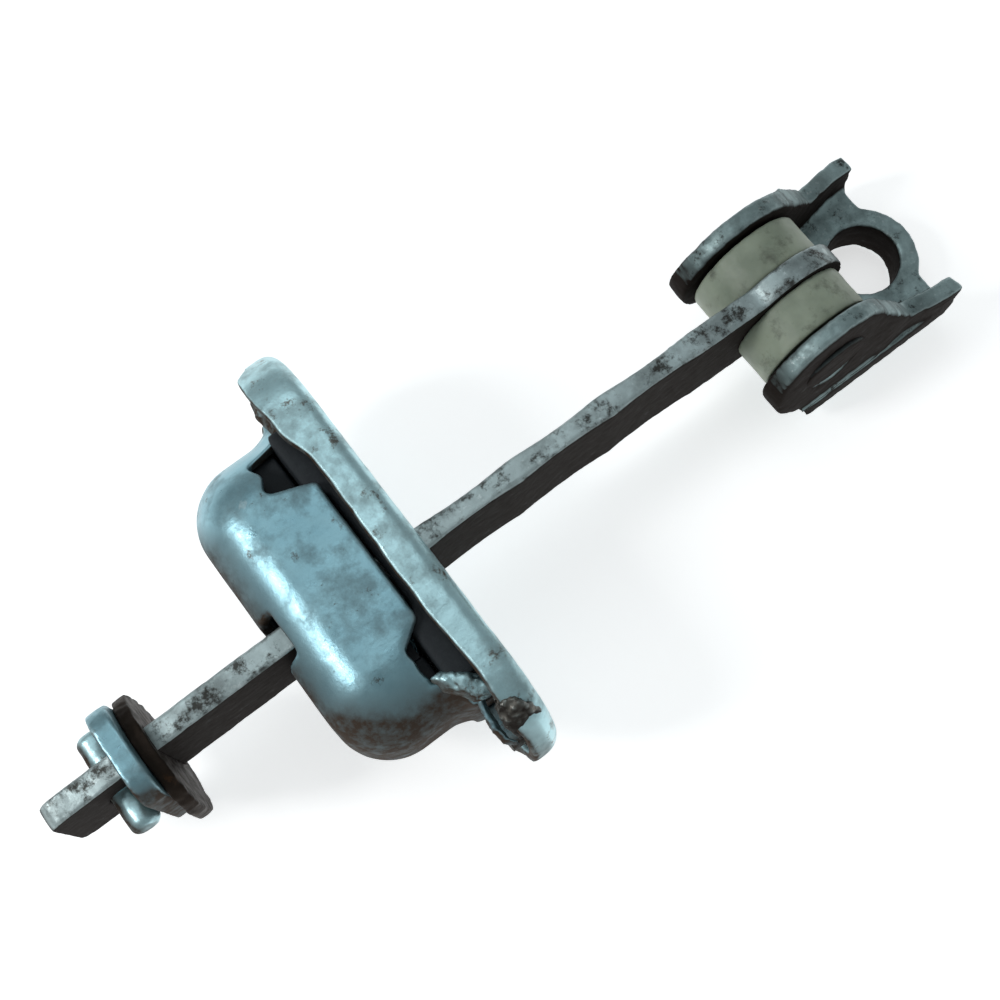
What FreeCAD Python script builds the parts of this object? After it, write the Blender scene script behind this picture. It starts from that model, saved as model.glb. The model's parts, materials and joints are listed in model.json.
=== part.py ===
import FreeCAD, Part
import os
import Sketcher
from FreeCAD import Placement, Rotation, Vector

# Door check link, in millimetres.  The strap runs along X through the slotted housing.
# The pivot pin and the long side of the housing lie along Y, and +Z is up.
# The origin is the centre of the housing's front face, which lies against the door.

SIZES = {
    # sheet metal housing
    "plate_length": 68.0,
    "plate_height": 29.2,
    "plate_corner": 12.5,
    "plate_gauge": 1.8,
    "rim_depth": 4.9,
    "rim_roll": 2.4,
    "strap_side": -2.0,
    "fixing_pitch": 55.4,
    "fixing_hole": 4.2,
    "slot_width": 6.4,
    "slot_height": 21.4,
    "cup_length": 46.4,
    "cup_height": 27.6,
    "cup_corner": 10.5,
    "cup_bottom": 24.0,
    "cup_mouth": 6.6,
    "cup_round": 8.6,
    "cup_gauge": 1.8,
    "window_start": 10.8,
    "window_end": 19.2,
    "window_depth": 4.6,
    "window_slant": 3.2,
    "overcut": 1.0,
    "wing_reach": 31.4,
    "wing_height": 17.0,
    "wing_corner": 8.4,
    "nut_radius": 3.6,
    "nut_depth": 2.6,
    "seal_gauge": 4.4,
    "seal_length": 42.0,
    "seal_height": 24.6,
    "seal_side_lap": 0.5,
    "seal_end_lap": 0.3,
    "sheet_gap": 0.05,
    # sprung rollers
    "roller_radius": 4.6,
    "roller_height": 13.6,
    "roller_offset": 6.75,
    "roller_place": 14.3,
    "roller_bore": 2.9,
    "axle_radius": 2.0,
    "axle_height": 18.2,
    "shoe_width": 10.0,
    "shoe_inner": 4.0,
    "shoe_outer": 13.0,
    "shoe_height": 18.6,
    "drum_clear": 0.4,
    "drum_end_gap": 0.3,
    "buffer_height": 18.0,
    "buffer_width": 11.0,
    "cavity_gap": 0.1,
    # strap
    "strap_width": 17.0,
    "strap_gauge": 3.7,
    "arch_radius": 655.0,
    "strap_tip": 60.8,
    "eye_radius": 10.4,
    "pivot_place": 65.0,
    "pivot_drop": 3.0,
    "tip_round": 2.6,
    "hollow_radius": 90.0,
    "hollow_depth": 0.3,
    "hollow_first": 8.0,
    "hollow_step": 16.0,
    # end stop
    "stop_place": 48.8,
    "stop_gauge": 3.2,
    "stop_length": 14.6,
    "stop_height": 26.0,
    "stop_round": 4.0,
    "stop_drop": 1.8,
    "disc_gauge": 2.2,
    "disc_length": 19.0,
    "disc_height": 22.4,
    "disc_round": 9.0,
    "disc_side": -1.0,
    "stop_pin_radius": 2.3,
    "stop_pin_length": 15.5,
    "stop_pin_round": 1.2,
    "stop_hole_gap": 0.6,
    # hinge bracket
    "lug_width": 23.8,
    "lug_gap": 17.8,
    "horn_width": 28.4,
    "horn_gap": 22.4,
    "lug_radius": 10.7,
    "base_top": 11.0,
    "base_gauge": 3.4,
    "base_start": -3.0,
    "foot_rise": 1.6,
    "slope_end": 16.0,
    "slope_across": 0.6,
    "slope_up": 0.8,
    "horn_reach": 25.2,
    "horn_height": 7.6,
    "horn_tip_drop": 1.4,
    "flare_start": 9.0,
    "flare_end": 22.0,
    "hole_reach": 19.8,
    "hole_radius": 5.7,
    "ring_radius": 8.9,
    "ring_height": 7.6,
    "pin_radius": 4.0,
    "pin_head_radius": 5.8,
    "pin_head_height": 1.0,
    "washer_radius": 6.4,
    "washer_gauge": 1.2,
    "rivet_rise": 1.6,
    "bush_radius": 9.2,
    "bush_spigot": 5.4,
    "running_fit": 0.05,
    "side_play": 0.4,
}

doc = FreeCAD.newDocument("DoorCheck")
sheet = doc.addObject("Spreadsheet::Sheet", "Sizes")
for row, (alias, value) in enumerate(SIZES.items(), start=1):
    sheet.set(f"A{row}", alias)
    sheet.set(f"B{row}", str(value))
    sheet.setAlias(f"B{row}", alias)
doc.recompute()

NODES = []
SAME_PLACE = 0.01


def formula(text):
    """Put the sheet's name before every alias in a formula."""
    words = text.replace("(", " ( ").replace(")", " ) ").split()
    return " ".join(f"Sizes.{word}" if word in SIZES else word for word in words)


def number(text):
    """The present value of a formula."""
    value = sheet.evalExpression(formula(text))
    return getattr(value, "Value", value)


def bind(feature, values):
    """Drive a feature's properties from the sheet."""
    for name, text in values.items():
        feature.setExpression(name, formula(text))


def keep(feature, label, side=None):
    """Name a finished sub-part, list it for writing, and move it along Y if side is given."""
    feature.Label = label
    if side:
        bind(feature, {".Placement.Base.y": side})
    NODES.append(feature)
    return feature


# ---- Part primitives and booleans


def place(shape, centre, turn=None):
    """Bind a primitive's position; centre holds three formulas."""
    shape.Placement = Placement(Vector(0, 0, 0), turn or Rotation())
    bind(shape, {f".Placement.Base.{axis}": text for axis, text in zip("xyz", centre)})


def box(name, low, size):
    """A block from its lowest corner and its three sizes."""
    block = doc.addObject("Part::Box", name)
    bind(block, dict(zip(("Length", "Width", "Height"), size)))
    place(block, low)
    return block


def cylinder(name, radius, height, start, axis):
    """A cylinder that starts at a point and runs along +X, +Y or +Z."""
    turns = {
        "x": Rotation(Vector(0, 1, 0), 90),
        "y": Rotation(Vector(1, 0, 0), -90),
        "z": Rotation(),
    }
    rod = doc.addObject("Part::Cylinder", name)
    bind(rod, {"Radius": radius, "Height": height})
    place(rod, start, turns[axis])
    return rod


def joined(name, *pieces):
    fuse = doc.addObject("Part::MultiFuse", name)
    fuse.Shapes = list(pieces)
    return fuse


def cut(name, base, tool):
    result = doc.addObject("Part::Cut", name)
    result.Base = base
    result.Tool = tool
    return result


def common(name, *pieces):
    result = doc.addObject("Part::MultiCommon", name)
    result.Shapes = list(pieces)
    return result


def rounded(name, base, radius, wanted):
    """Round the edges of a boolean that the test picks out."""
    doc.recompute()
    fillet = doc.addObject("Part::Fillet", name)
    fillet.Base = base
    edges = enumerate(base.Shape.Edges, start=1)
    fillet.Edges = [(index, radius, radius) for index, edge in edges if wanted(edge)]
    return fillet


# ---- PartDesign bodies


def new_body(name):
    return doc.addObject("PartDesign::Body", name)


def origin_item(body, role):
    return next(item for item in body.Origin.OriginFeatures if item.Role == role)


def new_sketch(body, name, role, offset="0"):
    """An empty sketch on one of the body's origin planes, moved along its normal."""
    sketch = body.newObject("Sketcher::SketchObject", name)
    sketch.AttachmentSupport = (origin_item(body, role), "")
    sketch.MapMode = "FlatFace"
    bind(sketch, {"AttachmentOffset.Base.z": offset})
    return sketch


def fix_point(sketch, geometry, end, across, along):
    """Hold a sketch point at the distances that two formulas give."""
    for kind, text in (("DistanceX", across), ("DistanceY", along)):
        rule = Sketcher.Constraint(kind, -1, 1, geometry, end, number(text))
        index = sketch.addConstraint(rule)
        sketch.setExpression(f"Constraints[{index}]", formula(text))


def polygon(sketch, corners):
    """A closed outline through corners, each a pair of formulas."""
    first = sketch.GeometryCount
    points = [Vector(number(across), number(along), 0) for across, along in corners]
    count = len(points)
    for index in range(count):
        sketch.addGeometry(Part.LineSegment(points[index], points[(index + 1) % count]), False)
    for index in range(count):
        nearby = first + (index + 1) % count
        sketch.addConstraint(Sketcher.Constraint("Coincident", first + index, 2, nearby, 1))
    for index, (across, along) in enumerate(corners):
        fix_point(sketch, first + index, 1, across, along)


def rectangle(sketch, across, along, width, length):
    """A rectangle centred on a point."""
    low, high = f"{across} - {width} / 2", f"{across} + {width} / 2"
    near, far = f"{along} - {length} / 2", f"{along} + {length} / 2"
    polygon(sketch, [(low, near), (high, near), (high, far), (low, far)])


def circle(sketch, across, along, radius):
    centre = Vector(number(across), number(along), 0)
    index = sketch.addGeometry(Part.Circle(centre, Vector(0, 0, 1), number(radius)), False)
    fix_point(sketch, index, 3, across, along)
    rule = Sketcher.Constraint("Radius", index, number(radius))
    position = sketch.addConstraint(rule)
    sketch.setExpression(f"Constraints[{position}]", formula(radius))


def pad(body, sketch, length, middle=False, backwards=False):
    feature = body.newObject("PartDesign::Pad", sketch.Name + "Pad")
    feature.Profile = sketch
    feature.Midplane = middle
    feature.Reversed = backwards
    bind(feature, {"Length": length})
    doc.recompute()
    return feature


def pocket(body, sketch, length=None, middle=False, backwards=False):
    """Cut a sketch out of the body, and stop if nothing was taken away."""
    before = body.Shape.Volume
    feature = body.newObject("PartDesign::Pocket", sketch.Name + "Pocket")
    feature.Profile = sketch
    feature.Midplane = middle
    feature.Reversed = backwards
    if length is None:
        feature.Type = "ThroughAll"
    else:
        bind(feature, {"Length": length})
    doc.recompute()
    if body.Shape.Volume > before - 1.0:
        raise RuntimeError(f"{sketch.Name} cuts nothing")
    return feature


def fillet(body, radius, wanted):
    """Round every edge of the body's last feature that the test picks out."""
    base = body.Tip
    edges = enumerate(base.Shape.Edges, start=1)
    names = [f"Edge{index}" for index, edge in edges if wanted(edge)]
    feature = body.newObject("PartDesign::Fillet", base.Name + "Round")
    feature.Base = (base, names)
    bind(feature, {"Radius": radius})
    doc.recompute()
    return feature


def hollow(body, gauge, open_place):
    """Leave a wall of one gauge inwards, open at the flat face that lies at one X."""
    base = body.Tip
    before = base.Shape.Volume
    test = at_x(open_place)
    faces = enumerate(base.Shape.Faces, start=1)
    names = [f"Face{index}" for index, face in faces if test(face)]
    feature = body.newObject("PartDesign::Thickness", base.Name + "Shell")
    feature.Base = (base, names)
    feature.Reversed = True
    bind(feature, {"Value": gauge})
    doc.recompute()
    if not 0 < feature.Shape.Volume < before:
        raise RuntimeError(f"{body.Name} is not hollow")
    return feature


def along_x(edge):
    """True for a straight edge parallel to X."""
    if edge.Curve.TypeId != "Part::GeomLine":
        return False
    return abs(edge.tangentAt(edge.FirstParameter).x) > 0.999


def along_y(edge):
    """True for a straight edge parallel to Y."""
    if edge.Curve.TypeId != "Part::GeomLine":
        return False
    return abs(edge.tangentAt(edge.FirstParameter).y) > 0.999


def at_x(text):
    """A test for edges or faces that lie wholly at one X."""
    place_x = number(text)

    def test(item):
        span = item.BoundBox
        return abs(span.XMin - place_x) < SAME_PLACE and abs(span.XMax - place_x) < SAME_PLACE

    return test


# ---- housing


def plate_holes(body, name, offset, depth):
    """The two fixing holes, cut through one layer of the housing."""
    holes = new_sketch(body, name, "YZ_Plane", offset)
    circle(holes, "fixing_pitch / 2", "0", "fixing_hole / 2")
    circle(holes, "- fixing_pitch / 2", "0", "fixing_hole / 2")
    pocket(body, holes, depth, middle=True)


def mounting_plate():
    """Shallow tray: flat front, rim turned back, slot for the strap, two fixing holes."""
    body = new_body("MountingPlate")
    face = new_sketch(body, "PlateOutline", "YZ_Plane")
    rectangle(face, "0", "0", "plate_length", "plate_height")
    pad(body, face, "rim_depth", backwards=True)
    fillet(body, "plate_corner", along_x)
    fillet(body, "rim_roll", at_x("0"))
    hollow(body, "plate_gauge", "- rim_depth")
    slot = new_sketch(body, "PlateSlot", "YZ_Plane")
    rectangle(slot, "strap_side", "0", "slot_width", "slot_height")
    pocket(body, slot, "3 * rim_depth", middle=True)
    plate_holes(body, "PlateHoles", "0", "3 * rim_depth")
    return keep(body, "mounting_plate")


def mirrored(corners, sign):
    """Corners of an outline, on one side of the housing or the other."""
    return [(across, f"{sign} ( {along} )") for across, along in corners]


def cup_wings(body):
    """Sheet that runs on from the cup's end walls and turns out along the tray's floor."""
    root = "- cup_mouth - overcut"
    back = "- plate_gauge - sheet_gap - cup_gauge"
    front = "- plate_gauge - sheet_gap"
    corners = [
        (root, "cup_length / 2 - cup_gauge"),
        (root, "cup_length / 2"),
        (back, "cup_length / 2"),
        (back, "wing_reach"),
        (front, "wing_reach"),
        (front, "cup_length / 2 - cup_gauge"),
    ]
    for side, sign in (("Left", "1 *"), ("Right", "-1 *")):
        wing = new_sketch(body, f"{side}Wing", "XY_Plane")
        polygon(wing, mirrored(corners, sign))
        pad(body, wing, "wing_height", middle=True)
    tip = number("wing_reach")

    def wing_tip(edge):
        return along_x(edge) and abs(abs(edge.CenterOfMass.y) - tip) < SAME_PLACE

    fillet(body, "wing_corner", wing_tip)


def cup_windows(body):
    """Corners of the cup's flat walls cut back, beside the end walls."""
    open_edge = "- cup_mouth + overcut"
    deep_edge = "- cup_mouth - window_depth"
    corners = [
        (open_edge, "window_start"),
        (deep_edge, "window_start + window_slant"),
        (deep_edge, "window_end"),
        (open_edge, "window_end"),
    ]
    windows = new_sketch(body, "CupWindows", "XY_Plane")
    for sign in ("1 *", "-1 *"):
        polygon(windows, mirrored(corners, sign))
    pocket(body, windows, "2 * cup_height", middle=True)


def housing_cup():
    """Drawn cup with a slotted bottom; its end walls turn out into wings inside the tray."""
    body = new_body("HousingCup")
    mouth = new_sketch(body, "CupOutline", "YZ_Plane", "- cup_mouth")
    rectangle(mouth, "0", "0", "cup_length", "cup_height")
    pad(body, mouth, "cup_bottom - cup_mouth", backwards=True)
    fillet(body, "cup_corner", along_x)
    fillet(body, "cup_round", at_x("- cup_bottom"))
    hollow(body, "cup_gauge", "- cup_mouth")
    cup_wings(body)
    cup_windows(body)
    slot = new_sketch(body, "CupSlot", "YZ_Plane", "- cup_bottom")
    rectangle(slot, "strap_side", "0", "slot_width", "slot_height")
    pocket(body, slot, "4 * cup_gauge", middle=True)
    plate_holes(body, "WingHoles", "- plate_gauge - cup_gauge", "2 * cup_gauge")
    return keep(body, "housing_cup")


def clinch_nuts():
    """Two round threaded collars pressed on the backs of the wings, one node."""
    nuts = []
    start = "- plate_gauge - sheet_gap - cup_gauge - nut_depth"
    for side, sign in (("Left", "1 *"), ("Right", "-1 *")):
        centre = (start, f"{sign} fixing_pitch / 2", "0")
        collar = cylinder(f"{side}NutCollar", "nut_radius", "nut_depth", centre, "x")
        bore = cylinder(f"{side}NutBore", "fixing_hole / 2", "nut_depth", centre, "x")
        nuts.append(cut(f"{side}Nut", collar, bore))
    return keep(joined("ClinchNuts", *nuts), "clinch_nuts")


def slot_seal():
    """Thick rubber pad between the plate and the cup's mouth, with a slot of its own."""
    start = "- plate_gauge - sheet_gap - seal_gauge"
    low = (start, "- seal_length / 2", "- seal_height / 2")
    block = box("SealBlock", low, ("seal_gauge", "seal_length", "seal_height"))
    slot_low = (
        start,
        "strap_side - slot_width / 2 + seal_side_lap",
        "- slot_height / 2 + seal_end_lap",
    )
    slot_size = ("seal_gauge", "slot_width - 2 * seal_side_lap", "slot_height - 2 * seal_end_lap")
    return keep(cut("SlotSeal", block, box("SealSlot", slot_low, slot_size)), "slot_seal")


# ---- sprung rollers


def sprung_roller(side, sign):
    """Roller, its bush and axle, the shoe that carries them, and the rubber behind the shoe."""
    name = side.lower()
    centre = ("- roller_place", f"strap_side + {sign} roller_offset")
    drum_start = (*centre, "- roller_height / 2")
    drum = cylinder(f"{side}Drum", "roller_radius", "roller_height", drum_start, "z")
    hole = cylinder(f"{side}DrumHole", "roller_bore", "roller_height", drum_start, "z")
    keep(cut(f"{side}Roller", drum, hole), f"roller_{name}")

    sleeve = cylinder(f"{side}Sleeve", "roller_bore - running_fit", "roller_height", drum_start, "z")
    sleeve_hole = cylinder(f"{side}SleeveHole", "axle_radius", "roller_height", drum_start, "z")
    keep(cut(f"{side}RollerBush", sleeve, sleeve_hole), f"roller_bush_{name}")

    axle_start = (*centre, "- axle_height / 2")
    axle = cylinder(f"{side}Axle", "axle_radius", "axle_height", axle_start, "z")
    keep(axle, f"roller_axle_{name}")

    keep(roller_shoe(side, sign, centre), f"roller_shoe_{name}")
    keep(rubber_buffer(side, sign), f"rubber_buffer_{name}")


def span_start(sign, near, far):
    """The lower Y of a block that reaches from near to far on one side of the strap."""
    return f"strap_side + {near}" if sign == "1 *" else f"strap_side - ( {far} )"


def roller_shoe(side, sign, centre):
    """U-shaped carrier: a back wall and two cheeks that hold the axle."""
    low = (
        "- roller_place - shoe_width / 2",
        span_start(sign, "shoe_inner", "shoe_outer"),
        "- shoe_height / 2",
    )
    size = ("shoe_width", "shoe_outer - shoe_inner", "shoe_height")
    block = box(f"{side}ShoeBlock", low, size)
    reach = "roller_offset + roller_radius + drum_clear"
    space_low = (
        "- roller_place - shoe_width",
        span_start(sign, "0", reach),
        "- roller_height / 2 - drum_end_gap",
    )
    space_size = ("2 * shoe_width", reach, "roller_height + 2 * drum_end_gap")
    space = box(f"{side}ShoeSpace", space_low, space_size)
    bore = cylinder(f"{side}ShoeBore", "axle_radius", "shoe_height", (*centre, "- shoe_height / 2"), "z")
    return cut(f"{side}Shoe", block, joined(f"{side}ShoeCuts", space, bore))


def cup_cavity(side):
    """The space inside the cup, a little smaller all round."""
    wall = "( cup_gauge + cavity_gap )"
    low = (
        f"- cup_bottom + {wall}",
        f"- cup_length / 2 + {wall}",
        f"- cup_height / 2 + {wall}",
    )
    size = (
        f"cup_bottom - cup_mouth - {wall}",
        f"cup_length - 2 * {wall}",
        f"cup_height - 2 * {wall}",
    )
    block = box(f"{side}CavityBlock", low, size)
    corner = number("cup_corner - cup_gauge - cavity_gap")
    upright = rounded(f"{side}CavityCorners", block, corner, along_x)
    bottom = at_x(f"- cup_bottom + {wall}")
    return rounded(f"{side}Cavity", upright, number("cup_round - cup_gauge - cavity_gap"), bottom)


def rubber_buffer(side, sign):
    """Rubber block between a shoe and the cup's end wall, shaped to the cup's corners."""
    wall = f"cup_length / 2 - {sign} strap_side"
    low = (
        "- roller_place - buffer_width / 2",
        span_start(sign, "shoe_outer", wall),
        "- buffer_height / 2",
    )
    size = ("buffer_width", f"{wall} - shoe_outer", "buffer_height")
    return common(f"{side}Rubber", box(f"{side}RubberBlock", low, size), cup_cavity(side))


# ---- strap and end stop


def strap_ring():
    """The strap's edgewise arch: a slice of a large flat ring."""
    start = ("0", "- strap_gauge / 2", "- arch_radius")
    outer = cylinder("ArchOuter", "arch_radius + strap_width / 2", "strap_gauge", start, "y")
    inner = cylinder("ArchInner", "arch_radius - strap_width / 2", "strap_gauge", start, "y")
    ring = cut("ArchRing", outer, inner)
    low = ("- strap_tip", "- strap_gauge", "- 2 * strap_width")
    size = ("strap_tip + pivot_place", "2 * strap_gauge", "4 * strap_width")
    return common("StrapSlice", ring, box("StrapSpan", low, size))


def detent_hollows():
    """Shallow hollows in both faces of the strap, which the rollers drop into."""
    cuts = []
    for index in range(3):
        for side, sign in (("Left", "1 *"), ("Right", "-1 *")):
            along = f"hollow_first + {index} * hollow_step"
            across = f"{sign} ( strap_gauge / 2 + hollow_radius - hollow_depth )"
            start = (along, across, "- 2 * strap_width")
            name = f"{side}Hollow{index}"
            cuts.append(cylinder(name, "hollow_radius", "4 * strap_width", start, "z"))
    return cuts


def check_strap():
    """Arched strap with detent hollows, a rounded tip, an eye and a hole for the cross pin."""
    eye_start = ("pivot_place", "- strap_gauge / 2", "- pivot_drop")
    eye = cylinder("StrapEye", "eye_radius", "strap_gauge", eye_start, "y")
    blank = joined("StrapBlank", strap_ring(), eye)
    tip_x = number("- strap_tip")

    def tip_corner(edge):
        return along_y(edge) and abs(edge.CenterOfMass.x - tip_x) < SAME_PLACE

    tipped = rounded("StrapTipRound", blank, number("tip_round"), tip_corner)
    pin_start = ("pivot_place", "- strap_gauge", "- pivot_drop")
    pin_bore = cylinder("StrapPinBore", "bush_spigot", "2 * strap_gauge", pin_start, "y")
    stop_start = ("- stop_place - stop_pin_radius", "- strap_gauge", "- stop_drop")
    stop_bore = cylinder("StrapStopBore", "stop_pin_radius", "2 * strap_gauge", stop_start, "y")
    cuts = joined("StrapCuts", pin_bore, stop_bore, *detent_hollows())
    return keep(cut("CheckStrap", tipped, cuts), "check_strap", "strap_side")


def stop_layer(name, start, gauge, length, height, radius, side="0"):
    """A rounded plate across the strap, with a hole that fits the strap."""
    low = (start, f"{side} - {length} / 2", f"- stop_drop - {height} / 2")
    block = box(f"{name}Block", low, (gauge, length, height))
    hole_low = (start, "- strap_gauge / 2", "- stop_drop - strap_width / 2 - stop_hole_gap")
    hole_size = (gauge, "strap_gauge", "strap_width + 2 * stop_hole_gap")
    hole = box(f"{name}Hole", hole_low, hole_size)
    middle_y = number(side)
    edge_y = number(f"{length} / 2")

    def corner(edge):
        return along_x(edge) and abs(abs(edge.CenterOfMass.y - middle_y) - edge_y) < SAME_PLACE

    return rounded(name, cut(f"{name}Cut", block, hole), number(radius), corner)


def end_stop():
    """Pressed stop plate, the rubber disc in front of it and the cross pin behind it."""
    sizes = ("stop_gauge", "stop_length", "stop_height", "stop_round")
    keep(stop_layer("StopPlate", "- stop_place", *sizes), "stop_plate", "strap_side")
    disc_sizes = ("disc_gauge", "disc_length", "disc_height", "disc_round", "disc_side")
    disc_start = "- stop_place + stop_gauge"
    keep(stop_layer("StopBuffer", disc_start, *disc_sizes), "stop_buffer", "strap_side")

    pin_start = ("- stop_place - stop_pin_radius", "- stop_pin_length / 2", "- stop_drop")
    pin = cylinder("StopPinRod", "stop_pin_radius", "stop_pin_length", pin_start, "y")

    def end_ring(edge):
        return edge.Curve.TypeId == "Part::GeomCircle"

    keep(rounded("StopPin", pin, number("stop_pin_round"), end_ring), "stop_pin", "strap_side")


# ---- hinge bracket and pivot


def fork_blank(body):
    """Solid outline of the fork: the web, the lugs and the horns that fall away from them."""
    web_bottom = "- pivot_drop - base_top - base_gauge"
    horn_top = "- pivot_drop - base_top + horn_height"
    side_view = new_sketch(body, "ForkSide", "XZ_Plane")
    corners = [
        ("pivot_place + base_start", web_bottom),
        ("pivot_place + horn_reach", web_bottom),
        ("pivot_place + horn_reach", f"{horn_top} - horn_tip_drop"),
        ("pivot_place + slope_end", horn_top),
        ("pivot_place + slope_across * lug_radius", "- pivot_drop + slope_up * lug_radius"),
        ("pivot_place + base_start", "- pivot_drop"),
    ]
    polygon(side_view, corners)
    pad(body, side_view, "horn_width", middle=True)
    lug = new_sketch(body, "ForkLug", "XZ_Plane")
    circle(lug, "pivot_place", "- pivot_drop", "lug_radius")
    pad(body, lug, "horn_width", middle=True)


def fork_waist(body):
    """Outside of the lugs cut in above the foot, widening again to the horns."""
    waist = new_sketch(body, "ForkWaist", "XY_Plane", "- pivot_drop - base_top + foot_rise")
    corners = [
        ("pivot_place - 2 * lug_radius", "lug_width / 2"),
        ("pivot_place + flare_start", "lug_width / 2"),
        ("pivot_place + flare_end", "horn_width / 2"),
        ("pivot_place + flare_end", "horn_width / 2 + overcut"),
        ("pivot_place - 2 * lug_radius", "horn_width / 2 + overcut"),
    ]
    for sign in ("1 *", "-1 *"):
        polygon(waist, [(along, f"{sign} ( {across} )") for along, across in corners])
    pocket(body, waist, "4 * lug_radius", backwards=True)


def fork_gap(body):
    """The space between the lugs, wider between the horns."""
    gap = new_sketch(body, "ForkGap", "XY_Plane", "- pivot_drop - base_top")
    near = "pivot_place - 2 * lug_radius"
    far = "pivot_place + 2 * horn_reach"
    corners = [
        (near, "lug_gap / 2"),
        ("pivot_place + flare_start", "lug_gap / 2"),
        ("pivot_place + flare_end", "horn_gap / 2"),
        (far, "horn_gap / 2"),
        (far, "- horn_gap / 2"),
        ("pivot_place + flare_end", "- horn_gap / 2"),
        ("pivot_place + flare_start", "- lug_gap / 2"),
        (near, "- lug_gap / 2"),
    ]
    polygon(gap, corners)
    pocket(body, gap, "4 * lug_radius", backwards=True)


def hinge_bracket():
    """Forged fork: two round lugs, horns that fall to the web, and a thick eye for the bolt."""
    body = new_body("HingeBracket")
    fork_blank(body)
    fork_waist(body)
    fork_gap(body)
    ring = new_sketch(body, "BoltRing", "XY_Plane", "- pivot_drop - base_top")
    circle(ring, "pivot_place + hole_reach", "0", "ring_radius")
    pad(body, ring, "ring_height", backwards=True)
    bolt = new_sketch(body, "BoltHole", "XY_Plane")
    circle(bolt, "pivot_place + hole_reach", "0", "hole_radius")
    pocket(body, bolt, "8 * ring_height", middle=True)
    bore = new_sketch(body, "PinBore", "XZ_Plane")
    circle(bore, "pivot_place", "- pivot_drop", "pin_radius")
    pocket(body, bore, "2 * horn_width", middle=True)
    return keep(body, "hinge_bracket", "strap_side")


def pivot_pin():
    """Headed pin riveted over a washer on the far lug."""
    across, along = "pivot_place", "- pivot_drop"
    head_start = (across, "- lug_width / 2 - pin_head_height", along)
    head = cylinder("PinHead", "pin_head_radius", "pin_head_height", head_start, "y")
    shank_start = (across, "- lug_width / 2", along)
    shank_length = "lug_width + washer_gauge + rivet_rise"
    shank = cylinder("PinShank", "pin_radius", shank_length, shank_start, "y")
    keep(joined("PivotPin", head, shank), "pivot_pin", "strap_side")

    ring_start = (across, "lug_width / 2", along)
    ring = cylinder("WasherRing", "washer_radius", "washer_gauge", ring_start, "y")
    hole = cylinder("WasherHole", "pin_radius", "washer_gauge", ring_start, "y")
    keep(cut("PinWasher", ring, hole), "pin_washer", "strap_side")


def pivot_bush(side, sign):
    """Half of the nylon bush: a drum beside the strap and a spigot in the strap's eye."""
    across, along = "pivot_place", "- pivot_drop"
    outer = "lug_gap / 2 - side_play"
    drum_start = (across, span_start(sign, "strap_gauge / 2", outer), along)
    drum = cylinder(f"{side}BushDrum", "bush_radius", f"{outer} - strap_gauge / 2", drum_start, "y")
    spigot_start = (across, span_start(sign, "0", "strap_gauge / 2"), along)
    spigot_radius = "bush_spigot - running_fit"
    spigot = cylinder(f"{side}Spigot", spigot_radius, "strap_gauge / 2", spigot_start, "y")
    blank = joined(f"{side}BushBlank", drum, spigot)
    hole_start = (across, "strap_side - lug_width", along)
    hole = cylinder(f"{side}BushHole", "pin_radius + running_fit", "2 * lug_width", hole_start, "y")
    keep(cut(f"{side}Bush", blank, hole), f"pivot_bush_{side.lower()}")


def check_all():
    """Stop if any feature failed or any sub-part is not a sound solid."""
    doc.recompute()
    for item in doc.Objects:
        if "Invalid" in item.State or "Error" in item.State:
            raise RuntimeError(f"{item.Name} failed: {item.State}")
    for node in NODES:
        if node.Shape.isNull() or not node.Shape.isValid() or not node.Shape.Solids:
            raise RuntimeError(f"{node.Label} has no sound shape")


def write_parts():
    os.makedirs("parts", exist_ok=True)
    for node in NODES:
        node.Shape.exportStep(f"parts/{node.Label}.step")
        span = node.Shape.BoundBox
        print(f"{node.Label}: {len(node.Shape.Solids)} solid, {node.Shape.Volume:.0f} mm3, {span}")


mounting_plate()
housing_cup()
clinch_nuts()
slot_seal()
for side_name, side_sign in (("Left", "1 *"), ("Right", "-1 *")):
    sprung_roller(side_name, side_sign)
check_strap()
end_stop()
hinge_bracket()
pivot_pin()
for side_name, side_sign in (("Left", "1 *"), ("Right", "-1 *")):
    pivot_bush(side_name, side_sign)
check_all()
write_parts()
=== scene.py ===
import json
import math

import bmesh
import bpy
from mathutils import Matrix, Vector, noise

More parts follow.
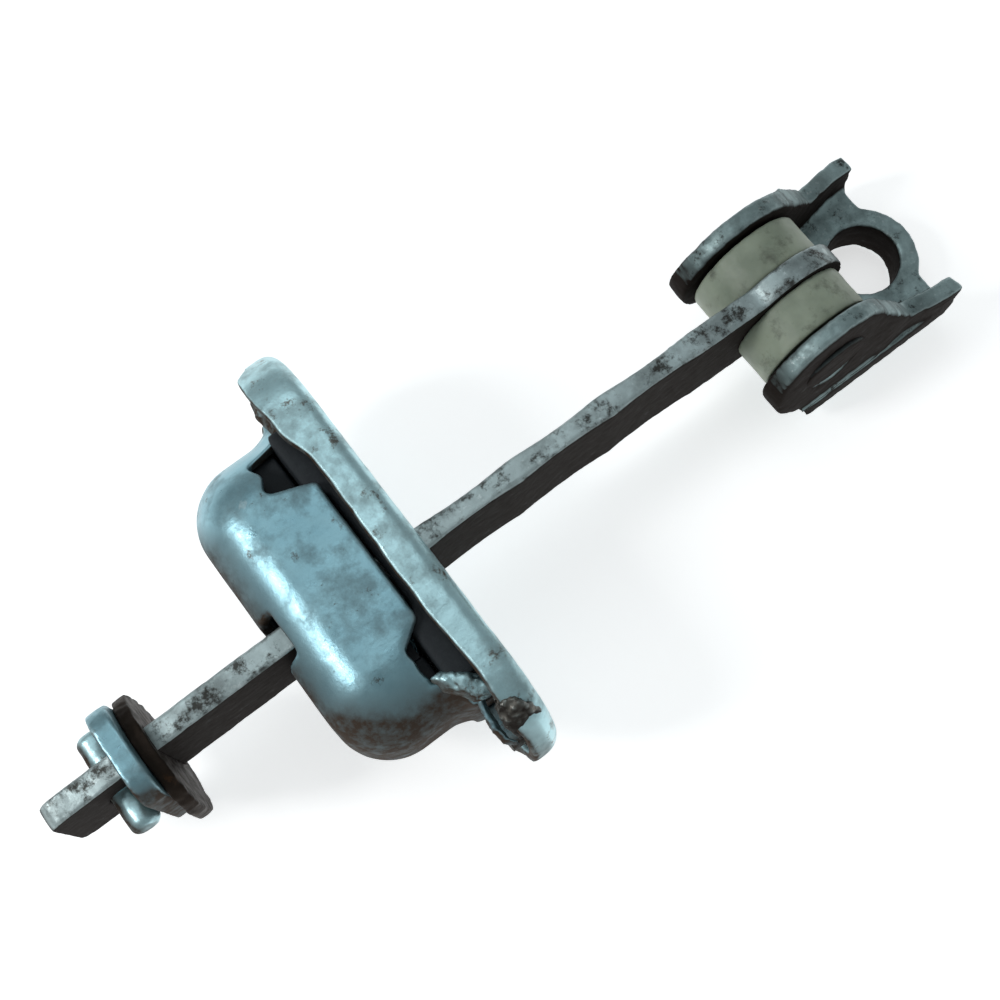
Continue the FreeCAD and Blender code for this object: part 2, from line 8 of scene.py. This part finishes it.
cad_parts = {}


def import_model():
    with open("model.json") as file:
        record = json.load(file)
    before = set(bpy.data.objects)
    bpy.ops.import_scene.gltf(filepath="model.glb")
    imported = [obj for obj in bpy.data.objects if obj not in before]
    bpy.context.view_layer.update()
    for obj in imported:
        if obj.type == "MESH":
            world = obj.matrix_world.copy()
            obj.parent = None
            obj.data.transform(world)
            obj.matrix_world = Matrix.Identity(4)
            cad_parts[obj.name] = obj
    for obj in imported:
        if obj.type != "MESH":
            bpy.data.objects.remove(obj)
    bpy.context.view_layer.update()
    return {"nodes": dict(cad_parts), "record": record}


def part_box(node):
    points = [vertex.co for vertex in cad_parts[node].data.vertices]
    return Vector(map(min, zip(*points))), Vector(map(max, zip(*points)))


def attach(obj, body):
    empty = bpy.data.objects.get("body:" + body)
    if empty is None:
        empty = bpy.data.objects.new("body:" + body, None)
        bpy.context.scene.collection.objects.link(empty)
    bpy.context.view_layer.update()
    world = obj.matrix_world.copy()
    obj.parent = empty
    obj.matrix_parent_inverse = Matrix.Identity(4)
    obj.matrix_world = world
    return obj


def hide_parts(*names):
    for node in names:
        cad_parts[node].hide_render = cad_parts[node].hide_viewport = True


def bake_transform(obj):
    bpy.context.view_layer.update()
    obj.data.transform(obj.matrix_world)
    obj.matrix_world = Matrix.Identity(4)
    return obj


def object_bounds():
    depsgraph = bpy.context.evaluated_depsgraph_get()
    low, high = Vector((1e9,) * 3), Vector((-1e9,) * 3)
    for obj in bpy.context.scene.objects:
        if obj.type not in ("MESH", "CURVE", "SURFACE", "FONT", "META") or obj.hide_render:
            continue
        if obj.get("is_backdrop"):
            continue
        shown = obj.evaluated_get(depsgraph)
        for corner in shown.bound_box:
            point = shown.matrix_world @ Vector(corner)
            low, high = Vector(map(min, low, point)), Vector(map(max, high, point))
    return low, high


# Worn door check link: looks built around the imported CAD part.
# The strap runs along X, the pivot pin along Y, and +Z is up.
# Objects are in metres. Sizes written as plain millimetres are turned into metres with MM.

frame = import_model()

MM = 0.001


# ---- materials


class Look:
    """A node material, with short calls for the nodes that several looks share."""

    def __init__(self, name):
        self.material = bpy.data.materials.new(name)
        self.material.use_nodes = True
        self.nodes = self.material.node_tree.nodes
        self.links = self.material.node_tree.links
        self.shader = self.nodes["Principled BSDF"]
        coordinates = self.nodes.new("ShaderNodeTexCoord")
        self.place = coordinates.outputs["Object"]
        self.normal = coordinates.outputs["Normal"]

    def link(self, source, target):
        self.links.new(source, target)

    def noise(self, per_mm, detail=4.0, stretch=(1.0, 1.0, 1.0), roughness=0.55):
        """Noise with a number of features in each millimetre."""
        mapping = self.nodes.new("ShaderNodeMapping")
        mapping.inputs["Scale"].default_value = stretch
        self.link(self.place, mapping.inputs["Vector"])
        texture = self.nodes.new("ShaderNodeTexNoise")
        texture.inputs["Scale"].default_value = per_mm / MM
        texture.inputs["Detail"].default_value = detail
        texture.inputs["Roughness"].default_value = roughness
        self.link(mapping.outputs["Vector"], texture.inputs["Vector"])
        return texture.outputs["Fac"]

    def ramp(self, source, span, onto=(0.0, 1.0)):
        """Bring one range of values onto another, clamped at both ends."""
        node = self.nodes.new("ShaderNodeMapRange")
        node.inputs["From Min"].default_value = span[0]
        node.inputs["From Max"].default_value = span[1]
        node.inputs["To Min"].default_value = onto[0]
        node.inputs["To Max"].default_value = onto[1]
        self.link(source, node.inputs["Value"])
        return node.outputs["Result"]

    def combine(self, operation, first, second):
        """Add, multiply or compare two values, each a number or a node's output; kept within 0 to 1."""
        node = self.nodes.new("ShaderNodeMath")
        node.operation = operation
        node.use_clamp = True
        for socket, value in zip(node.inputs, (first, second)):
            if isinstance(value, float):
                socket.default_value = value
            else:
                self.link(value, socket)
        return node.outputs["Value"]

    def mix(self, factor, first, second):
        """Colour mix: each side is a colour tuple or another node's output."""
        node = self.nodes.new("ShaderNodeMix")
        node.data_type = "RGBA"
        self.link(factor, node.inputs["Factor"])
        for name, value in (("A", first), ("B", second)):
            socket = [item for item in node.inputs if item.name == name and item.type == "RGBA"][0]
            if isinstance(value, tuple):
                socket.default_value = (*value, 1.0)
            else:
                self.link(value, socket)
        return [item for item in node.outputs if item.type == "RGBA"][0]

    def facing(self, axis, span):
        """How far the surface turns towards one direction of the object."""
        dot = self.nodes.new("ShaderNodeVectorMath")
        dot.operation = "DOT_PRODUCT"
        dot.inputs[1].default_value = axis
        self.link(self.normal, dot.inputs[0])
        return self.ramp(dot.outputs["Value"], span)

    def edges(self, span):
        """Where the surface is convex, as on worn corners."""
        geometry = self.nodes.new("ShaderNodeNewGeometry")
        return self.ramp(geometry.outputs["Pointiness"], span)

    def bump(self, layers):
        """Stack several heights: pairs of a source and a distance in millimetres."""
        normal = None
        for source, distance in layers:
            node = self.nodes.new("ShaderNodeBump")
            node.inputs["Strength"].default_value = 1.0
            node.inputs["Distance"].default_value = distance * MM
            self.link(source, node.inputs["Height"])
            if normal is not None:
                self.link(normal, node.inputs["Normal"])
            normal = node.outputs["Normal"]
        self.link(normal, self.shader.inputs["Normal"])

    def finish(self, color, roughness, metallic):
        """Wire the three results into the shader and give the material back."""
        self.link(color, self.shader.inputs["Base Color"])
        self.link(roughness, self.shader.inputs["Roughness"])
        if isinstance(metallic, float):
            self.shader.inputs["Metallic"].default_value = metallic
        else:
            self.link(metallic, self.shader.inputs["Metallic"])
        return self.material


# dark colours for real dirt smears, used also for the painted shade on chosen sides
GRIME_AND_SHADE = (0.012, 0.008, 0.006)
BROWN_DUST_AND_SHADE = (0.050, 0.034, 0.024)
BARE_STEEL = (0.72, 0.80, 0.80)

# the ways that the sides of the pressed sheet face where painted shade darkens them, as though in
# shadow
SHADED_END = (-0.55, -0.8, -0.25)
SHADED_BACK = (-0.9, -0.35, -0.25)
UP = (0, 0, 1)
DOWN = (0, 0, -1)


def worn_metal(name, pale, dark, stain, cover, roughness, flank_shade=0.0, shelter_shade=0.0,
               shaded_side=SHADED_END, soil_and_shade_color=GRIME_AND_SHADE, edge=None, bare=0.0):
    """Dull metal: cloudy tone, stains, dirt smears, painted shade on chosen sides, bare specks, bright
    worn edges.

    One amount paints shade onto the faces that stand upright, and another onto those that turn the
    given shaded way, as though they lay in shadow.
    """
    look = Look(name)
    cloud = look.noise(per_mm=0.07, detail=5.0)
    mottle = look.noise(per_mm=0.5, detail=6.0, roughness=0.65)
    grain = look.noise(per_mm=3.5, detail=4.0)
    scratch = look.noise(per_mm=0.9, detail=3.0, stretch=(0.12, 1.6, 1.6))
    cloudy_part = look.ramp(cloud, span=(0.3, 0.7), onto=(0.0, 0.6))
    mottled_part = look.ramp(mottle, span=(0.3, 0.75), onto=(0.0, 0.4))
    color = look.mix(look.combine("ADD", cloudy_part, mottled_part), dark, pale)

    speck = look.noise(per_mm=0.3, detail=9.0, roughness=0.75)
    blot = look.ramp(speck, span=(0.62 - 0.14 * cover, 0.68 - 0.10 * cover), onto=(0.0, 0.9))
    color = look.mix(blot, color, stain)
    if bare:
        chips = look.noise(per_mm=0.75, detail=7.0, roughness=0.7)
        color = look.mix(look.ramp(chips, span=(0.60, 0.66), onto=(0.0, bare)), color, BARE_STEEL)
    if edge:
        patchy = look.ramp(mottle, span=(0.35, 0.6), onto=(0.15, 0.85))
        wear = look.combine("MULTIPLY", look.edges(span=(0.515, 0.57)), patchy)
        color = look.mix(wear, color, edge)

    smears = look.noise(per_mm=0.16, detail=8.0, roughness=0.7)
    dirt_and_shade = look.ramp(smears, span=(0.45, 0.62), onto=(0.0, 0.35))
    # painted shade: faces that stand upright are darkened towards the soil colour, as though they lay
    # in shadow
    if flank_shade:
        level_span = (0.3, 0.75)
        level = look.combine("ADD", look.facing(UP, level_span), look.facing(DOWN, level_span))
        upright = look.combine("SUBTRACT", 1.0, level)
        patchy = look.ramp(mottle, span=(0.2, 0.5), onto=(0.85, 1.0))
        shaded_flanks = look.combine("MULTIPLY", upright, patchy)
        dirt_and_shade = look.combine("MAXIMUM", dirt_and_shade, look.combine("MULTIPLY", shaded_flanks, flank_shade))
    # painted shade: faces turned the given way are darkened towards the soil colour, as though they lay
    # in shadow
    if shelter_shade:
        patchy = look.ramp(mottle, span=(0.2, 0.6), onto=(0.7, 1.0))
        shaded_faces = look.combine("MULTIPLY", look.facing(shaded_side, span=(-0.05, 0.5)), patchy)
        dirt_and_shade = look.combine("MAXIMUM", dirt_and_shade, look.combine("MULTIPLY", shaded_faces, shelter_shade))
    # real dirt smears and painted shade together darken the colour, dull the metal and roughen it
    dirt_and_shade = look.ramp(dirt_and_shade, span=(0.0, 0.92))
    color = look.mix(dirt_and_shade, color, soil_and_shade_color)

    clean_rough = look.ramp(mottle, span=(0.2, 0.8), onto=(roughness - 0.06, roughness + 0.12))
    rough = look.combine("ADD", clean_rough, look.combine("MULTIPLY", dirt_and_shade, 0.4))
    metallic = look.ramp(dirt_and_shade, span=(0.0, 1.0), onto=(0.95, 0.0))
    look.shader.inputs["Specular IOR Level"].default_value = 0.12
    look.bump([(mottle, 0.05), (scratch, 0.02), (grain, 0.012), (speck, 0.05)])
    return look.finish(color, rough, metallic)


def dusty_black(name, color, dust):
    """Matt black rubber or plastic with a speckle of dust."""
    look = Look(name)
    speckle = look.noise(per_mm=1.2, detail=6.0, roughness=0.7)
    shade = look.mix(look.ramp(speckle, span=(0.45, 0.75)), color, dust)
    look.bump([(speckle, 0.06), (look.noise(per_mm=5.0), 0.02)])
    return look.finish(shade, look.ramp(speckle, span=(0.2, 0.8), onto=(0.62, 0.85)), 0.0)


def greasy_nylon(name, dull, clean, grease):
    """Yellowed off-white nylon with grease smudges."""
    look = Look(name)
    cloud = look.noise(per_mm=0.12, detail=4.0)
    smudge = look.noise(per_mm=0.28, detail=7.0, roughness=0.7)
    color = look.mix(look.ramp(cloud, span=(0.35, 0.65)), dull, clean)
    color = look.mix(look.ramp(smudge, span=(0.54, 0.74), onto=(0.0, 0.7)), color, grease)
    look.shader.inputs["Subsurface Weight"].default_value = 0.15
    look.shader.inputs["Subsurface Radius"].default_value = (0.002, 0.0015, 0.001)
    look.bump([(smudge, 0.05), (look.noise(per_mm=3.0), 0.015)])
    return look.finish(color, look.ramp(smudge, span=(0.3, 0.7), onto=(0.38, 0.6)), 0.0)


# the shade amounts below paint shade onto the upright or shaded sides of each material, darkening them
# as though in shadow
PLATED = worn_metal(
    "plated_steel", pale=(0.34, 0.57, 0.64), dark=(0.20, 0.36, 0.42), stain=(0.10, 0.10, 0.09),
    cover=0.15, roughness=0.29, shelter_shade=0.95, soil_and_shade_color=BROWN_DUST_AND_SHADE, edge=(0.50, 0.66, 0.70),
)
RIM = worn_metal(
    "plated_steel_rim", pale=(0.60, 0.88, 0.93), dark=(0.40, 0.60, 0.64), stain=(0.14, 0.12, 0.10),
    cover=0.3, roughness=0.30, shelter_shade=0.95, shaded_side=SHADED_BACK, soil_and_shade_color=BROWN_DUST_AND_SHADE,
)
# a darkened copy of the plated steel: painted shade for the flap on the end wall that lies in shadow
SHADED_CRIMPED = worn_metal(
    "shaded_crimped_steel", pale=(0.24, 0.24, 0.22), dark=(0.07, 0.06, 0.05), stain=(0.05, 0.04, 0.034),
    cover=0.4, roughness=0.34, shelter_shade=0.9, edge=(0.50, 0.56, 0.55),
)
STRAP = worn_metal(
    "worn_strap_steel", pale=(0.60, 0.72, 0.73), dark=(0.26, 0.31, 0.31), stain=(0.030, 0.024, 0.018),
    cover=0.85, roughness=0.38, flank_shade=0.98, edge=(0.66, 0.76, 0.76), bare=0.5,
)
FORGED = worn_metal(
    "forged_steel", pale=(0.44, 0.57, 0.575), dark=(0.14, 0.19, 0.19), stain=(0.020, 0.018, 0.015),
    cover=0.45, roughness=0.40, flank_shade=0.98, edge=(0.52, 0.64, 0.65), bare=0.4,
)
OILY = worn_metal(
    "oily_steel", pale=(0.10, 0.12, 0.12), dark=(0.04, 0.05, 0.05), stain=(0.020, 0.018, 0.015),
    cover=0.3, roughness=0.45, flank_shade=0.98,
)
RUSTY = worn_metal(
    "rusty_steel", pale=(0.045, 0.034, 0.027), dark=(0.018, 0.013, 0.010), stain=(0.06, 0.034, 0.02),
    cover=0.3, roughness=0.5,
)
BRIGHT = worn_metal(
    "bright_steel", pale=(0.62, 0.64, 0.65), dark=(0.42, 0.44, 0.45), stain=(0.12, 0.10, 0.08),
    cover=0.1, roughness=0.26,
)
BRONZE = worn_metal(
    "bronze", pale=(0.60, 0.42, 0.20), dark=(0.38, 0.25, 0.12), stain=(0.10, 0.07, 0.04),
    cover=0.2, roughness=0.36,
)
RUBBER = dusty_black("black_rubber", color=(0.006, 0.010, 0.014), dust=(0.022, 0.028, 0.032))
PLASTIC = dusty_black("black_plastic", color=(0.010, 0.014, 0.018), dust=(0.026, 0.030, 0.034))
NYLON = greasy_nylon(
    "nylon", dull=(0.22, 0.26, 0.195), clean=(0.36, 0.41, 0.315), grease=(0.06, 0.06, 0.045),
)

MATERIALS = {
    "plated_steel": PLATED,
    "worn_strap_steel": STRAP,
    "forged_steel": FORGED,
    "rusty_steel": RUSTY,
    "bright_steel": BRIGHT,
    "bronze": BRONZE,
    "black_rubber": RUBBER,
    "black_plastic": PLASTIC,
    "nylon": NYLON,
}

# nodes that look different from the rest of their material slot
OWN_LOOK = {"mounting_plate": RIM, "stop_pin": RIM, "pivot_pin": OILY}

SLOT_OF = {row["node"]: row["material_slot"] for row in frame["record"]["subparts"]}
BODY_OF = {
    node: body
    for body, members in frame["record"]["behaviour"]["bodies"].items()
    for node in members
}


# ---- pieces


def even_mesh(piece, voxel, rounds):
    """Rebuild a piece as an even mesh of voxel-sized faces (in millimetres) with softened edges."""
    remesh = piece.modifiers.new("even", "REMESH")
    remesh.mode = "VOXEL"
    remesh.voxel_size = voxel * MM
    soften = piece.modifiers.new("soften", "SMOOTH")
    soften.factor = 0.5
    soften.iterations = rounds
    graph = bpy.context.evaluated_depsgraph_get()
    final = bpy.data.meshes.new_from_object(piece.evaluated_get(graph))
    final.name = piece.name
    piece.modifiers.clear()
    piece.data = final


def soften_mesh(piece, rounds):
    """Even out steps that a shape change has stretched."""
    shape = bmesh.new()
    shape.from_mesh(piece.data)
    for _ in range(rounds):
        bmesh.ops.smooth_vert(
            shape, verts=shape.verts, factor=0.5, use_axis_x=True, use_axis_y=True, use_axis_z=True,
        )
    shape.to_mesh(piece.data)
    shape.free()


def finish_mesh(mesh, look):
    """Smooth shading and one material."""
    mesh.polygons.foreach_set("use_smooth", [True] * len(mesh.polygons))
    mesh.materials.clear()
    mesh.materials.append(look)


def even_copy(name, node, voxel, rounds):
    """A new piece in a CAD node's place, with an even mesh and rounded edges."""
    piece = bpy.data.objects.new(name, frame["nodes"][node].data.copy())
    bpy.context.scene.collection.objects.link(piece)
    even_mesh(piece, voxel, rounds)
    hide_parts(node)
    return piece


def worn_copy(node, voxel, rounds, shape=None, pitting=0.0, pits_per_mm=0.3):
    """An even copy with its own shape changes, and pits about as deep as pitting, in millimetres."""
    piece = even_copy(f"worn_{node}", node, voxel, rounds)
    if shape:
        for vertex in piece.data.vertices:
            vertex.co = shape(vertex.co)
        soften_mesh(piece, rounds=2)
    fade, finer, octaves = 0.8, 2.1, 3
    normals = [vertex.normal.copy() for vertex in piece.data.vertices]
    for vertex, normal in zip(piece.data.vertices, normals):
        depth = abs(noise.fractal(vertex.co * (pits_per_mm / MM), fade, finer, octaves))
        vertex.co -= normal * (depth * pitting * MM)
    finish_mesh(piece.data, OWN_LOOK.get(node, MATERIALS[SLOT_OF[node]]))
    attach(piece, BODY_OF[node])


def rubber_block(side):
    """A soft block: an even copy of the rubber buffer, with its place baked into the mesh."""
    node = f"rubber_buffer_{side}"
    piece = even_copy(f"soft_{node}", node, voxel=0.5, rounds=3)
    finish_mesh(piece.data, MATERIALS[SLOT_OF[node]])
    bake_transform(piece)


# The shape functions below move one vertex. Their places and depths are in millimetres, in the
# part's own frame, and they bend or fill the CAD shape by at most a few millimetres.
# STRAP_SIDE is the strap's mid-plane, and LUG_FACE is where the pin's washer meets the left lug.

STRAP_SIDE = sum(corner[1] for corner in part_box("check_strap")) / 2.0 / MM
LUG_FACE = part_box("pin_washer")[0][1] / MM


def ease(value, start, end):
    """0 before start, 1 after end, and smooth between them."""
    step = min(1.0, max(0.0, (value - start) / (end - start)))
    return step * step * (3.0 - 2.0 * step)


def plate_shape(point):
    """The rim's back edge curls over, unevenly, and deepest at the left end."""
    x, y, z = (value / MM for value in point)
    rim_depth = 0.5 + 0.6 * noise.noise(Vector((y * 0.16, z * 0.1, 5.0)))
    left_depth = 1.8 * ease(y, 14.0, 20.0)
    back_edge = ease(-x, 1.8, 4.2) * ease(abs(z), 8.0, 11.0)
    x -= back_edge * (rim_depth + left_depth)
    return Vector((x, y, z)) * MM


def cup_shape(point):
    """End walls flare into the tray; the cut edges of the windows are uneven."""
    x, y, z = (value / MM for value in point)
    wall_flare = 1.5 * ease(x, -11.0, -5.5)
    y += math.copysign(wall_flare * ease(abs(y), 17.0, 21.0), y)
    window_side = abs(z) > 9.0 and x > -14.0
    if window_side:
        cut_edge = ease(x, -14.0, -10.5)
        window = ease(abs(y), 8.0, 11.0)
        ragged = 0.9 * window * noise.noise(Vector((y * 0.45, 3.0, z * 0.2)))
        left_cut = 1.1 * ease(y, 10.5, 14.0) * (1.0 - ease(y, 19.0, 21.0))
        right_cut = 1.1 * ease(-y, 14.0, 16.0) * (1.0 - ease(-y, 19.0, 21.0))
        x += cut_edge * (ragged - left_cut + right_cut)
    return Vector((x, y, z)) * MM


def seal_shape(point):
    """The pad swells backwards at both ends, behind the cup's windows."""
    x, y, z = (value / MM for value in point)
    swelling = 2.2
    x -= swelling * ease(-x, 3.5, 5.5) * ease(abs(y), 9.0, 12.0)
    return Vector((x, y, z)) * MM


def bracket_shape(point):
    """Forging draft on the lugs, filled saddles up to the horns, and uneven horn tips."""
    x, y, z = (value / MM for value in point)
    across = y - STRAP_SIDE
    aside = abs(across)
    lug = ease(aside, 10.2, 11.8) * (1.0 - ease(aside, 12.2, 14.0)) * (1.0 - ease(x, 74.0, 84.0))
    draft = 1.6 * lug * ease(-z, -8.0, 13.0)
    shoulder_run = ease(x, 70.0, 83.0) * (1.0 - ease(x, 85.0, 92.0))
    left_shoulder = 2.2 * shoulder_run * ease(z, -2.0, 2.0) * ease(across, 8.5, 11.0)
    saddle_run = ease(x, 73.0, 81.0) * (1.0 - ease(x, 83.0, 91.0))
    saddle = 1.8 * saddle_run * ease(aside, 8.0, 11.0) * ease(z, -6.0, 3.0)
    tip = ease(x, 84.0, 90.0) * ease(aside, 10.5, 11.5)
    y += math.copysign(draft, across) + left_shoulder
    z += saddle
    x += tip * (0.7 + 0.5 * noise.noise(Vector((y * 0.5, z * 0.4, 1.0))))
    return Vector((x, y, z)) * MM


def riveted_shape(point):
    """The riveted end of the pin and its washer are beaten down flat against the lug."""
    lug_face = LUG_FACE * MM
    flattened = 0.4
    if point.y > lug_face:
        point.y = lug_face + flattened * (point.y - lug_face)
    return point


def folded_lump(name, spine, look, crumple):
    """A folded flap of sheet: rings of an uneven oval along a line, closed at both ends.

    Each point of the spine is x, y, z, half thickness and half width, in millimetres.
    """
    sides = 20
    lean = 0.3
    shape = bmesh.new()
    rings = []
    for place_x, place_y, place_z, thick, wide in spine:
        ring = []
        for step in range(sides):
            angle = 2.0 * math.pi * step / sides
            corner = (
                place_x + thick * math.cos(angle),
                place_y + lean * wide * math.sin(angle),
                place_z + wide * math.sin(angle),
            )
            ring.append(shape.verts.new(Vector(corner) * MM))
        rings.append(ring)
    for first, second in zip(rings, rings[1:]):
        for step in range(sides):
            after = (step + 1) % sides
            shape.faces.new((first[step], first[after], second[after], second[step]))
    shape.faces.new(reversed(rings[0]))
    shape.faces.new(rings[-1])
    bmesh.ops.recalc_face_normals(shape, faces=shape.faces)
    mesh = bpy.data.meshes.new(name)
    shape.to_mesh(mesh)
    shape.free()
    piece = bpy.data.objects.new(name, mesh)
    bpy.context.scene.collection.objects.link(piece)
    even_mesh(piece, voxel=0.25, rounds=6)
    folds_per_mm = 0.32
    fade, finer, octaves = 0.7, 2.0, 4
    for vertex in piece.data.vertices:
        fold = noise.fractal(vertex.co * (folds_per_mm / MM), fade, finer, octaves)
        vertex.co += vertex.normal * (fold * crumple * MM)
    finish_mesh(piece.data, look)
    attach(piece, "housing")


for node_name, item in frame["nodes"].items():
    item.data.materials.clear()
    item.data.materials.append(MATERIALS[SLOT_OF[node_name]])

worn_copy("mounting_plate", voxel=0.4, rounds=6, shape=plate_shape, pitting=0.10, pits_per_mm=0.2)
worn_copy("housing_cup", voxel=0.4, rounds=8, shape=cup_shape, pitting=0.05, pits_per_mm=0.1)
worn_copy("slot_seal", voxel=0.5, rounds=4, shape=seal_shape)
worn_copy("check_strap", voxel=0.35, rounds=5, pitting=0.06, pits_per_mm=0.5)
worn_copy("hinge_bracket", voxel=0.4, rounds=8, shape=bracket_shape, pitting=0.14, pits_per_mm=0.35)
worn_copy("stop_plate", voxel=0.35, rounds=8, pitting=0.12)
worn_copy("stop_buffer", voxel=0.3, rounds=8, pitting=0.25)
worn_copy("stop_pin", voxel=0.3, rounds=6, pitting=0.12)
worn_copy("pivot_pin", voxel=0.35, rounds=6, shape=riveted_shape, pitting=0.15)
worn_copy("pin_washer", voxel=0.3, rounds=3, shape=riveted_shape, pitting=0.05)
for side in ("left", "right"):
    rubber_block(side)
for side in ("left", "right"):
    worn_copy(f"pivot_bush_{side}", voxel=0.35, rounds=6, pitting=0.10, pits_per_mm=0.2)

folded_lump(
    "folded_flap_left",
    spine=[
        (-5.0, 19.4, 10.8, 1.0, 1.1),
        (-5.6, 21.2, 10.4, 1.7, 1.6),
        (-5.7, 24.5, 9.8, 2.0, 2.0),
        (-5.2, 28.0, 8.6, 1.6, 2.3),
        (-4.4, 30.6, 7.0, 1.0, 2.2),
        (-3.8, 32.0, 5.8, 0.5, 1.3),
    ],
    look=RIM,
    crumple=0.35,
)
# this flap takes the darkened copy of the plated steel, which is painted shade
folded_lump(
    "folded_flap_right",
    spine=[
        (-4.6, -25.8, 12.0, 1.0, 1.2),
        (-4.2, -27.4, 11.6, 1.8, 2.2),
        (-3.6, -29.2, 10.8, 2.3, 2.8),
        (-3.2, -30.6, 9.2, 2.4, 3.1),
        (-3.0, -31.6, 6.8, 2.3, 3.2),
        (-3.2, -32.2, 3.6, 1.8, 2.6),
    ],
    look=SHADED_CRIMPED,
    crumple=0.55,
)
folded_lump(
    "torn_strip",
    spine=[
        (-6.2, -23.4, 8.6, 0.6, 1.0),
        (-6.7, -25.8, 7.8, 0.7, 1.3),
        (-7.0, -28.4, 7.0, 0.7, 1.4),
        (-6.7, -30.2, 6.2, 0.6, 1.2),
        (-5.7, -31.2, 5.6, 0.5, 0.8),
    ],
    look=PLATED,
    crumple=0.3,
)
folded_lump(
    "torn_burr",
    spine=[
        (-9.4, -18.6, 11.6, 0.7, 0.7),
        (-8.6, -20.0, 11.6, 1.4, 1.1),
        (-7.2, -21.4, 11.3, 2.0, 1.4),
        (-5.9, -22.8, 11.1, 2.1, 1.5),
        (-4.8, -24.4, 10.8, 1.6, 1.3),
    ],
    look=RIM,
    crumple=0.5,
)


# ---- stage, light and camera


FLOOR_HALF_SIZE = 2.0
FLOOR_GLOW = 0.6
NEAR_WHITE = (0.93, 0.93, 0.93)
LIGHTER_WHITE = (0.95, 0.95, 0.95)
WHITE = (1.0, 1.0, 1.0)
COOL_WHITE = (0.9, 0.97, 1.0)
SKY = (0.80, 0.86, 0.88)
SKY_STRENGTH = 0.36

CAMERA_PLACE = (-0.01995, -0.04973, 0.20262)
CAMERA_FORWARD = (0.15787, 0.22574, -0.96131)
CAMERA_UP = (0.58229, 0.76496, 0.27526)
LENS_MM = 54.0
SENSOR_MM = 36.0


def floor():
    """A matt white floor under the object, which glows a little so that it stays white."""
    low_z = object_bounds()[0][2]
    half = FLOOR_HALF_SIZE
    corners = [(-half, -half, low_z), (half, -half, low_z), (half, half, low_z), (-half, half, low_z)]
    mesh = bpy.data.meshes.new("floor")
    mesh.from_pydata(corners, [], [(0, 1, 2, 3)])
    piece = bpy.data.objects.new("floor", mesh)
    bpy.context.scene.collection.objects.link(piece)
    look = Look("floor")
    tone = look.mix(look.noise(per_mm=0.002), NEAR_WHITE, LIGHTER_WHITE)
    rough = look.ramp(look.noise(per_mm=0.01), span=(0.0, 1.0), onto=(0.8, 0.9))
    mesh.materials.append(look.finish(tone, rough, 0.0))
    look.shader.inputs["Emission Strength"].default_value = FLOOR_GLOW
    look.shader.inputs["Emission Color"].default_value = (*WHITE, 1.0)
    piece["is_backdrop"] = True


def area_light(name, place, size, power, color=WHITE):
    """A rectangular light that shines at the origin."""
    data = bpy.data.lights.new(name, "AREA")
    data.shape = "RECTANGLE"
    data.size, data.size_y = size
    data.energy = power
    data.color = color
    light = bpy.data.objects.new(name, data)
    light.location = place
    light.rotation_euler = (-Vector(place)).to_track_quat("-Z", "Y").to_euler()
    bpy.context.scene.collection.objects.link(light)


def camera():
    """The camera stands 0.2 m above the housing and looks down, rolled so the strap runs uphill."""
    data = bpy.data.cameras.new("camera")
    data.lens = LENS_MM
    data.sensor_width = SENSOR_MM
    data.clip_start = 0.01
    item = bpy.data.objects.new("camera", data)
    forward = Vector(CAMERA_FORWARD).normalized()
    right = forward.cross(Vector(CAMERA_UP)).normalized()
    up = right.cross(forward)
    turn = Matrix((right, up, -forward)).transposed()
    item.matrix_world = Matrix.Translation(CAMERA_PLACE) @ turn.to_4x4()
    bpy.context.scene.collection.objects.link(item)
    bpy.context.scene.camera = item


def world():
    """Pale, even light from all around."""
    sky = bpy.data.worlds.new("studio")
    sky.use_nodes = True
    back = sky.node_tree.nodes["Background"]
    back.inputs["Color"].default_value = (*SKY, 1.0)
    back.inputs["Strength"].default_value = SKY_STRENGTH
    bpy.context.scene.world = sky
    bpy.context.scene.view_settings.view_transform = "Standard"


floor()
area_light("window", place=(-0.42, 0.15, 0.41), size=(0.12, 0.2), power=1.15)
area_light("overhead", place=(0.05, 0.30, 0.7), size=(0.5, 0.5), power=0.7, color=COOL_WHITE)
world()
camera()
